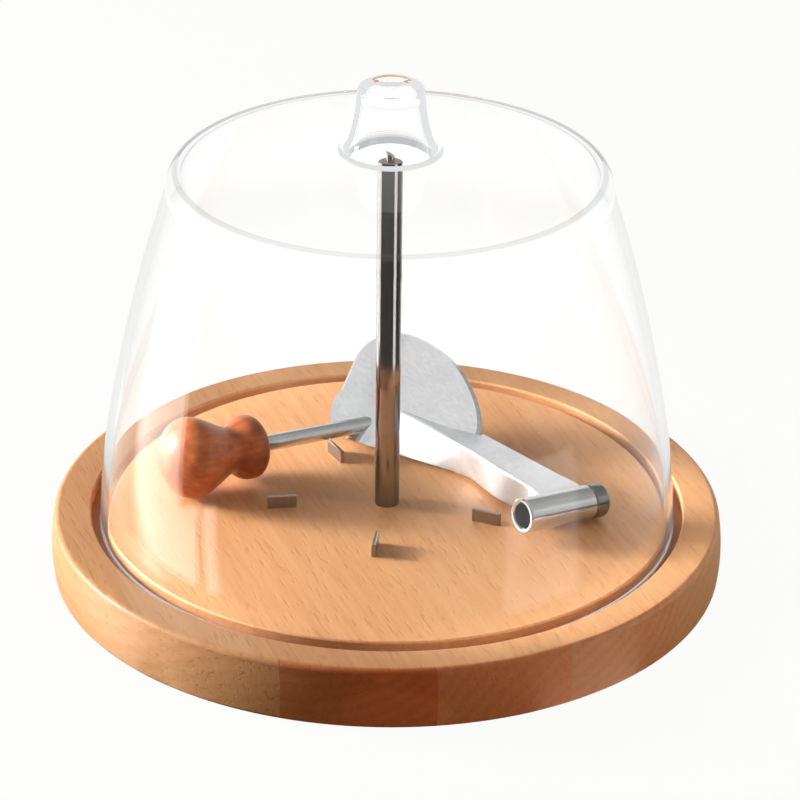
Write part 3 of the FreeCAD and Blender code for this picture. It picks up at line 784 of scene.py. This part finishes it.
@dataclass
class Scraper:
    """Hand scraper: tube, cast arm, blade and handle rod, with its turning knob.

    Lengths are in millimetres; pairs are radius and height along their own axis.

    Attributes:
        end: centre of the tube's lower end.
        turn_deg, tilt_deg, roll_deg: heading and rise of the tube, and turn round it.
        bush_round, bush_middle: rounded edge of the bush, and how far its middle stands in.
        sleeve_radius, sleeve_length: the part of the bush that is inside the tube.
        knob_lip: middle of the bend from the knob's face to its side.
    """

    end: Triple = (69.49, -7.97, 26.5)
    turn_deg: float = 35.5
    tilt_deg: float = 6.3
    roll_deg: float = -2.0
    hub_radius: float = 5.75
    bore_radius: float = 4.08
    hub_length: float = 32.5
    chamfer: float = 0.45
    bush_length: float = 5.5
    bush_round: float = 1.2
    bush_middle: float = 0.35
    sleeve_radius: float = 4.95
    sleeve_length: float = 6.0
    crank: float = 86.3
    rod_side: tuple[Pair, ...] = ((0, 26.5), (2.7, 26.5), (2.7, 77.2), (2.4, 77.2), (2.4, 98.0),
                                  (1.5, 98.0), (1.5, 88.0), (0, 88.0))
    knob_face: tuple[Pair, ...] = ((2.55, 77.5), (7.6, 77.5))
    knob_lip: Pair = (9.7, 78.6)
    knob_side: tuple[Pair, ...] = (
        (10.7, 81.2), (10.4, 83.8), (8.9, 86.4), (7.9, 88.6), (8.1, 90.2), (9.1, 92.6),
        (10.4, 95.2), (11.8, 98.0), (13.0, 100.8), (13.5, 103.4), (13.1, 105.8),
        (11.6, 108.4), (9.2, 110.6), (6.4, 112.2), (4.2, 112.95))
    knob_back: tuple[Pair, ...] = ((4.2, 97.7), (2.55, 97.7))
    plug_foot: tuple[Pair, ...] = ((0, 104.5), (4.2, 104.5))
    plug_crown: tuple[Pair, ...] = ((2.1, 113.28), (0, 113.4))
    along_tube: Layer = Layer(1500.0, (1.0, 1.0, 0.03))

    def place(self) -> np.ndarray:
        """Frame of the scraper: X out to the handle, Y down, Z along the tube."""
        turn, tilt, roll = (math.radians(v) for v in (self.turn_deg, self.tilt_deg, self.roll_deg))
        along = np.array([-math.cos(turn) * math.cos(tilt), -math.sin(turn) * math.cos(tilt),
                          math.sin(tilt)])
        level = np.array([-math.sin(turn), math.cos(turn), 0.0])
        out = level * math.cos(roll) + np.cross(level, along) * math.sin(roll)
        place = np.eye(4)
        place[:3, :3] = np.stack([out, np.cross(along, out), along], axis=1)
        place[:3, 3] = np.array(self.end) * MM
        return place

    def crank_place(self) -> np.ndarray:
        """Frame of the handle: the scraper's, moved out to the rod's axis."""
        moved = self.place()
        moved[:3, 3] += moved[:3, 0] * self.crank * MM
        return moved

    def pattern_turn(self) -> Triple:
        """Angles that lay a Mapping node's Z along the tube."""
        back = Matrix(self.place()[:3, :3].tolist()).transposed()
        return tuple(back.to_euler("XYZ"))

    def steel(self, name: str, colour: Triple, roughness: float, spread: float, lines: Layer,
              depth: float = SteelFinish.depth) -> bpy.types.Material:
        """SteelFinish with its lines in the scraper's frame."""
        return SteelFinish(name, colour, roughness, spread, self.pattern_turn(), lines,
                           depth).material()

    def tube(self) -> None:
        """Tube that runs on the spindle, and the bush in its lower end."""
        outer, inner, bevel, sleeve = (self.hub_radius, self.bore_radius, self.chamfer,
                                       self.sleeve_radius)
        low, high, seat = self.bush_length, self.hub_length, self.bush_length + self.sleeve_length
        tube = Profile((inner, seat), (inner, high - bevel), (inner + bevel, high),
                       (outer - bevel, high), (outer, high - bevel), (outer, low + bevel),
                       (outer - bevel, low), (sleeve, low), (sleeve, seat))
        turned_piece("hub_sleeve", tube, self.place(), 96, body=Body.SCRAPER, slot=Slot.STEEL,
                     nodes=("hub_tube",), material=self.steel(
                         "polished_tube", (0.72, 0.71, 0.70), 0.12, 0.08, self.along_tube))
        bush = Profile((inner, seat), (inner, bevel), (inner + bevel, 0),
                       (outer - self.bush_round, 0))
        bush.bend((outer - self.bush_middle, self.bush_middle), (outer, self.bush_round))
        bush.line((outer, low - bevel), (outer - bevel, low), (sleeve, low), (sleeve, seat))
        turned_piece("hub_end_bush", bush, self.place(), 96, body=Body.SCRAPER,
                     slot=Slot.STEEL, nodes=("hub_bush",), material=self.steel(
                         "bush_steel", (0.30, 0.29, 0.28), 0.16, 0.08, self.along_tube))

    def arm_and_blade(self) -> None:
        """Cast arm, ground blade and the small fittings, on their CAD surfaces."""
        satin = self.steel("satin_cast", (0.86, 0.86, 0.87), 0.46, 0.10, Layer(500.0), 0.00004)
        skin_of("scraper_arm", "cast_arm", body=Body.SCRAPER, slot=Slot.ARM, material=satin,
                sharp_deg=24.0)
        ground = self.steel("blade_steel", (0.80, 0.80, 0.80), 0.12, 0.10,
                            Layer(1200.0, (0.03, 1.0, 1.0)))
        skin_of("scraper_blade", "blade_plate", body=Body.SCRAPER, slot=Slot.BLADE,
                material=ground)
        plain = SteelFinish("plain_steel", (0.62, 0.61, 0.60), 0.2).material()
        for node in ("blade_rivets", "handle_socket", "rod_end_washer", "rod_end_screw"):
            skin_of(node, node + "_skin", body=Body.SCRAPER, slot=Slot.STEEL, material=plain)

    def rod(self) -> None:
        """Handle rod with its neck inside the knob."""
        turned_piece("handle_bar", Profile(*self.rod_side), self.crank_place(), 64,
                     body=Body.SCRAPER, slot=Slot.STEEL, nodes=("handle_rod",),
                     material=self.steel("polished_rod", (0.70, 0.69, 0.68), 0.12, 0.08,
                                         self.along_tube))

    def knob(self) -> None:
        """Turned wooden knob and the plug in its end."""
        place, side = self.crank_place(), list(self.knob_side)
        outline = Profile(*self.knob_face).bend(self.knob_lip, side[0], 8)
        outline.curve(side, 8).line(*self.knob_back)
        finish = KnobWoodFinish("turned_wood", tuple(-(place[:3, :3].T @ place[:3, 3])),
                                self.pattern_turn()).material()
        turned_piece("turned_knob", outline, place, 128, body=Body.KNOB, slot=Slot.KNOB,
                     nodes=("handle_knob",), material=finish)
        plug = Profile(*self.plug_foot, side[-1]).bend(*self.plug_crown, 6)
        turned_piece("knob_end_plug", plug, place, 64, body=Body.KNOB, slot=Slot.KNOB,
                     nodes=("knob_plug",), material=finish)

    def build(self) -> None:
        """Make every piece of the scraper."""
        self.tube()
        self.arm_and_blade()
        self.rod()
        self.knob()


# ---- stage


@dataclass(frozen=True)
class Edge:
    """Soft straight line on the floor, where the level x * across + y * depth + offset is 0.

    The mask goes from 0 to 1 between the levels low and high, in metres.
    """

    x: float
    y: float
    offset: float
    low: float
    high: float

    def level(self, spot: Wires) -> Wire:
        """Level at a place of the floor."""
        return spot[0] * self.x + spot[1] * self.y + self.offset

    def mask(self, spot: Wires) -> Wire:
        """0 on one side of the line and 1 on the other."""
        return self.level(spot).ramp(self.low, self.high)

    def gap(self, spot: Wires) -> Wire:
        """0 on the line and 1 on both sides; low and high are squared levels here."""
        level = self.level(spot)
        return (level * level).ramp(self.low, self.high)


def patch(spot: Wires, *edges: Edge) -> Wire:
    """Product of the masks of several lines: the area that they enclose."""
    area = edges[0].mask(spot)
    for edge in edges[1:]:
        area = area * edge.mask(spot)
    return area


@dataclass(frozen=True)
class Cards:
    """Cards that lie on the floor only for rays that the pieces mirror.

    The left card is what narrow or wide holds, up to left_end and without its bar. Strip,
    rear and dark count only after more than three clear surfaces.
    """

    narrow: Edge = Edge(0.118, 1.0, 0.0986, -0.006, 0.006)
    wide: tuple[Edge, ...] = (Edge(-0.304, 1.0, 0.067, -0.005, 0.005),
                              Edge(1.0, -0.511, 0.224, -0.012, 0.012))
    left_end: Edge = Edge(-0.85, -1.0, -0.15, -0.02, 0.02)
    bar: Edge = Edge(-0.167, 1.0, 0.069, 0.00001, 0.00004)
    right: tuple[Edge, ...] = (Edge(0.875, 1.0, 0.057, -0.006, 0.006),
                               Edge(-0.134, -1.0, -0.066, -0.006, 0.006),
                               Edge(-1.0, -0.22, 0.485, -0.01, 0.01))
    strip: tuple[Edge, ...] = (Edge(-0.38, -1.0, 0.0, 0.0, 0.012),
                               Edge(1.15, 1.0, 0.0, 0.0, 0.012),
                               Edge(1.0, 0.0, 0.0, 0.02, 0.04))
    rear: tuple[Edge, ...] = (Edge(-0.10, 1.0, 0.0, -0.01, 0.01),
                              Edge(-1.4, -1.0, 0.0, 0.0, 0.02),
                              Edge(1.0, 0.0, 0.0, -0.02, -0.04))
    dark: tuple[Edge, ...] = (Edge(0.20, 1.0, 0.0, 0.0, 0.02),
                              Edge(0.70, -1.0, 0.0, 0.0, 0.02),
                              Edge(1.0, 0.0, 0.0, 0.02, 0.04))
    right_share: float = 0.36
    strip_light: float = 2.4
    rear_light: float = 2.2
    dark_share: float = 0.85

    def shine(self, spot: Wires, front: Wire, light: float, through: Wire) -> Wire:
        """Strength of the floor for mirrored rays.

        Args:
            spot: place on the floor.
            front: strength of the floor without cards.
            light: strength of the left card.
            through: number of clear surfaces that the ray has crossed.

        Returns:
            The strength at that place.
        """
        left = self.narrow.mask(spot).most(patch(spot, *self.wide))
        left = left * self.left_end.mask(spot) * self.bar.gap(spot)
        cards = left.most(patch(spot, *self.right) * self.right_share)
        skin = (3.0 - through).clipped()
        inner = (through - 3.0).clipped()
        shine = front + cards * skin * (light - front)
        shine = shine * (1.0 - inner * patch(spot, *self.dark) * self.dark_share)
        return shine + inner * (patch(spot, *self.strip) * self.strip_light
                                + patch(spot, *self.rear) * self.rear_light)


@dataclass(frozen=True)
class Room:
    """Light of the room by direction; each part sets in over a span of one component.

    The first strengths are for mirrored rays, the matt ones for matt surfaces.
    """

    back_span: Pair = (-0.30, 0.30)
    left_span: Pair = (0.30, 0.90)
    right_span: Pair = (0.35, 0.90)
    horizon_span: Pair = (0.38, 0.56)
    zenith_span: Pair = (0.74, 0.92)
    horizon: float = 0.85
    zenith: float = 0.80
    left: float = 0.34
    right: float = 0.20
    even: float = 0.06
    low_span: Pair = (-0.10, 0.45)
    ahead_span: Pair = (0.20, 0.90)
    matt_left: float = 0.06
    matt_right: float = 1.9
    matt_ahead: float = 0.40
    matt_low: float = 0.46
    matt_even: float = 0.03

    def light(self, way: Wires) -> Wires:
        """Strengths for mirrored rays and for matt surfaces in a direction."""
        side, depth, height = way
        left, right = (side * -1.0).ramp(*self.left_span), side.ramp(*self.right_span)
        horizon = height.ramp(*self.horizon_span, 1.0, 0.0) * depth.ramp(*self.back_span)
        zenith = height.ramp(*self.zenith_span)
        shine = (horizon * self.horizon + zenith * self.zenith + left * self.left
                 + right * self.right + self.even).least(1.0)
        low = height.ramp(*self.low_span, 1.0, 0.0)
        ahead = (depth * -1.0).ramp(*self.ahead_span)
        fill = (right * self.matt_right + ahead * self.matt_ahead + self.matt_low) * low
        return shine, left * self.matt_left + fill + self.matt_even


@dataclass(frozen=True)
class Softbox:
    """Rectangular lamp: centre and sides in metres, power in watts."""

    name: str
    place: Triple
    size: Pair
    power: float
    colour: Triple = (1.0, 1.0, 1.0)


@dataclass
class Stage:
    """Pale floor, studio light and camera.

    The camera's place and lens are in millimetres, all else is in metres.

    Attributes:
        paper, matt_paper: colours of the floor as it shines and under the lamps.
        steady: share of the floor that shines by itself and holds no shadow.
        wall_loss: light that each clear surface takes, given back to the paper.
        front_span, front_light: where the floor's dark front ends, and its strength.
        matt_share: share of that strength that matt surfaces meet.
        edge_light: strength of the room for rays mirrored inside a clear wall.
        beyond_light: the same after more than two clear surfaces.
        warm: colour of the room for matt surfaces.
    """

    eye: Triple = (0.0, -1062.00, 583.51)
    right: Triple = (0.999939, 0.001750, 0.010949)
    up: Triple = (-0.010588, 0.443692, 0.896117)
    forward: Triple = (0.003290, 0.896178, -0.443683)
    lens: float = 164.452
    sensor: float = 36.0
    clip: Pair = (0.05, 20.0)
    paper: Triple = (0.99, 0.99, 0.975)
    matt_paper: Triple = (0.80, 0.80, 0.79)
    steady: float = 0.97
    wall_loss: float = 0.03
    front_span: Pair = (-0.06, 0.12)
    front_light: float = 0.07
    matt_share: float = 0.75
    edge_light: float = 0.66
    beyond_light: float = 0.28
    card_light: float = 4.8
    warm: Triple = (1.0, 0.73, 0.48)
    floor_half: float = 6.0
    aim: Triple = (0.0, 0.0, 0.05)
    room: Room = Room()
    cards: Cards = Cards()
    lamps: tuple[Softbox, ...] = (
        Softbox("softbox_left", (-1.00, 0.16, 0.30), (0.26, 0.22), 18.6, (1.0, 1.0, 0.99)),
        Softbox("softbox_top", (0.05, 0.20, 1.20), (0.60, 0.60), 0.8),
        Softbox("softbox_right", (0.95, -0.25, 0.45), (0.40, 0.50), 2.0))

    def camera(self) -> None:
        """Camera in front of the board, looking down at it."""
        data = bpy.data.cameras.new("camera")
        data.sensor_fit = "HORIZONTAL"
        data.sensor_width = self.sensor
        data.lens = self.lens
        data.clip_start, data.clip_end = self.clip
        camera = bpy.data.objects.new("camera", data)
        axes = Matrix((self.right, self.up, tuple(-c for c in self.forward))).transposed()
        camera.matrix_world = Matrix.LocRotScale(Vector(self.eye) * MM, axes.to_quaternion(), None)
        bpy.context.scene.collection.objects.link(camera)
        bpy.context.scene.camera = camera

    def lamp(self, box: Softbox) -> None:
        """Softbox that faces the aim and isn't seen through the clear pieces."""
        data = bpy.data.lights.new(box.name, "AREA")
        data.shape = "RECTANGLE"
        data.size, data.size_y = box.size
        data.energy = box.power
        data.color = box.colour
        lamp = bpy.data.objects.new(box.name, data)
        lamp.visible_transmission = False
        lamp.location = box.place
        way = Vector(self.aim) - Vector(box.place)
        lamp.rotation_euler = way.to_track_quat("-Z", "Y").to_euler()
        bpy.context.scene.collection.objects.link(lamp)

    @staticmethod
    def seen(sheet: Sheet) -> Wires:
        """How a ray reached the stage.

        Returns:
            Shares of rays that came straight or through clear pieces, that a clear wall
            mirrored inside itself and that a matt surface scattered, and the number of
            clear surfaces crossed.
        """
        mirrored, through, matt = sheet.add("ShaderNodeLightPath").outputs(
            "Glossy Depth", "Transmission Depth", "Diffuse Depth")
        scattered = matt.least(1.0)
        direct = 1.0 - (mirrored + scattered).least(1.0)
        inside = (mirrored.least(1.0) * through.least(1.0) * (3.0 - through).clipped()
                  * (1.0 - scattered))
        return direct, inside, scattered, through

    def world(self) -> None:
        """Pale room: white for the camera, darker in front and high at the back for metal."""
        world = bpy.data.worlds.new("room")
        bpy.context.scene.world = world
        world.use_nodes = True
        world.cycles.sampling_method = "NONE"
        sheet = Sheet(world.node_tree)
        direct, inside, scattered, through = self.seen(sheet)
        way = sheet.axes(sheet.add("ShaderNodeTexCoord", output="Generated"))
        shine, fill = self.room.light(way)
        beyond = (through - 2.0).clipped() * self.beyond_light
        shine = shine + (inside * self.edge_light).most(beyond) * (1.0 - shine)
        room = sheet.add("ShaderNodeBackground", inputs={
            "Color": sheet.blended(scattered, rgba((1.0, 1.0, 1.0)), rgba(self.warm)),
            "Strength": shine + scattered * (fill - shine)})
        white = sheet.add("ShaderNodeBackground", inputs={
            "Color": rgba(self.paper), "Strength": 1.0 + through * self.wall_loss})
        sheet.end(sheet.mixed(direct, room, white), "ShaderNodeOutputWorld")

    def paper_floor(self) -> bpy.types.Material:
        """Material of the floor: paper for the camera, cards for mirrored rays."""
        material, sheet = new_sheet("pale_floor")
        spot = sheet.axes(sheet.spot())
        direct, _, scattered, through = self.seen(sheet)
        front = spot[1].ramp(*self.front_span, self.front_light, 1.0)
        grey = front * self.matt_share
        tone = sheet.add("ShaderNodeCombineColor", inputs={0: grey, 1: grey, 2: grey})
        matt = sheet.add("ShaderNodeBsdfDiffuse", inputs={
            "Color": sheet.blended(direct, tone, rgba(self.matt_paper))})
        mirrored = (1.0 - direct) * (1.0 - scattered)
        shine = self.cards.shine(spot, front, self.card_light, through)
        white = sheet.add("ShaderNodeEmission", inputs={
            "Color": rgba(self.paper),
            "Strength": 1.0 + through * self.wall_loss * direct + mirrored * (shine - 1.0)})
        sheet.end(sheet.mixed(direct * self.steady + mirrored, matt, white))
        return material

    def floor(self) -> None:
        """Large pale floor that keeps a trace of the object's shadow."""
        half = self.floor_half
        mesh = bpy.data.meshes.new("floor")
        mesh.from_pydata([(-half, -half, 0.0), (half, -half, 0.0), (half, half, 0.0),
                          (-half, half, 0.0)], [], [(0, 1, 2, 3)])
        mesh.materials.append(self.paper_floor())
        floor = bpy.data.objects.new("floor", mesh)
        bpy.context.scene.collection.objects.link(floor)

    def build(self) -> None:
        """Set the stage."""
        bpy.context.scene.view_settings.view_transform = "Standard"
        self.camera()
        self.world()
        self.floor()
        for box in self.lamps:
            self.lamp(box)


def main() -> None:
    """Build the object and its stage."""
    logging.basicConfig(level=logging.INFO, format="%(name)s: %(message)s")
    Stage().build()
    Board().build()
    Cover().build()
    Scraper().build()


if __name__ == "__main__":
    main()
